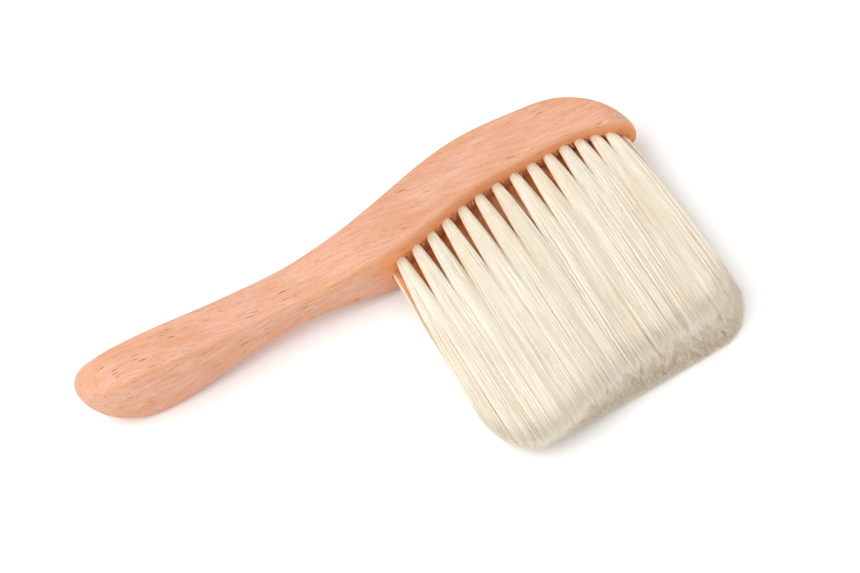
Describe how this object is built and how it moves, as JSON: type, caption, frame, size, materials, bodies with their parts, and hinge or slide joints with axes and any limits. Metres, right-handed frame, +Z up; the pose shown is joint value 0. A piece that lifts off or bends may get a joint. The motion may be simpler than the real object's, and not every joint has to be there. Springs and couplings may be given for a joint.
{
  "type": "neck duster brush",
  "caption": "Hand brush with a curved one-piece beech handle and head, and soft ivory filament tufts set in staggered rows along the head's concave face.",
  "frame": {"origin": "middle of the brush's bounding box in X and Y, on the surface that it lies on", "axes": "+X along the brush from the butt to the nose, -Y the way the bristles point, +Z up through the thickness of the stock"},
  "size_m": [0.1755, 0.1053, 0.021],
  "materials": {
    "beech": "satin, light beech with short dark flecks",
    "filament": "soft ivory filament",
    "anchor_wire": "flat wire"
  },
  "bodies": {
    "root": {"stock": "beech", "tuft_back_01": "filament", "anchor_back_01": "anchor_wire", "tuft_back_02": "filament", "anchor_back_02": "anchor_wire", "tuft_back_03": "filament", "anchor_back_03": "anchor_wire", "tuft_back_04": "filament", "anchor_back_04": "anchor_wire", "tuft_back_05": "filament", "anchor_back_05": "anchor_wire", "tuft_back_06": "filament", "anchor_back_06": "anchor_wire", "tuft_back_07": "filament", "anchor_back_07": "anchor_wire", "tuft_back_08": "filament", "anchor_back_08": "anchor_wire", "tuft_back_09": "filament", "anchor_back_09": "anchor_wire", "tuft_back_10": "filament", "anchor_back_10": "anchor_wire", "tuft_back_11": "filament", "anchor_back_11": "anchor_wire", "tuft_back_12": "filament", "anchor_back_12": "anchor_wire", "tuft_back_13": "filament", "anchor_back_13": "anchor_wire", "tuft_back_14": "filament", "anchor_back_14": "anchor_wire", "tuft_back_15": "filament", "anchor_back_15": "anchor_wire", "tuft_front_01": "filament", "anchor_front_01": "anchor_wire", "tuft_front_02": "filament", "anchor_front_02": "anchor_wire", "tuft_front_03": "filament", "anchor_front_03": "anchor_wire", "tuft_front_04": "filament", "anchor_front_04": "anchor_wire", "tuft_front_05": "filament", "anchor_front_05": "anchor_wire", "tuft_front_06": "filament", "anchor_front_06": "anchor_wire", "tuft_front_07": "filament", "anchor_front_07": "anchor_wire", "tuft_front_08": "filament", "anchor_front_08": "anchor_wire", "tuft_front_09": "filament", "anchor_front_09": "anchor_wire", "tuft_front_10": "filament", "anchor_front_10": "anchor_wire", "tuft_front_11": "filament", "anchor_front_11": "anchor_wire", "tuft_front_12": "filament", "anchor_front_12": "anchor_wire", "tuft_front_13": "filament", "anchor_front_13": "anchor_wire", "tuft_front_14": "filament", "anchor_front_14": "anchor_wire"}
  },
  "joints": []
}
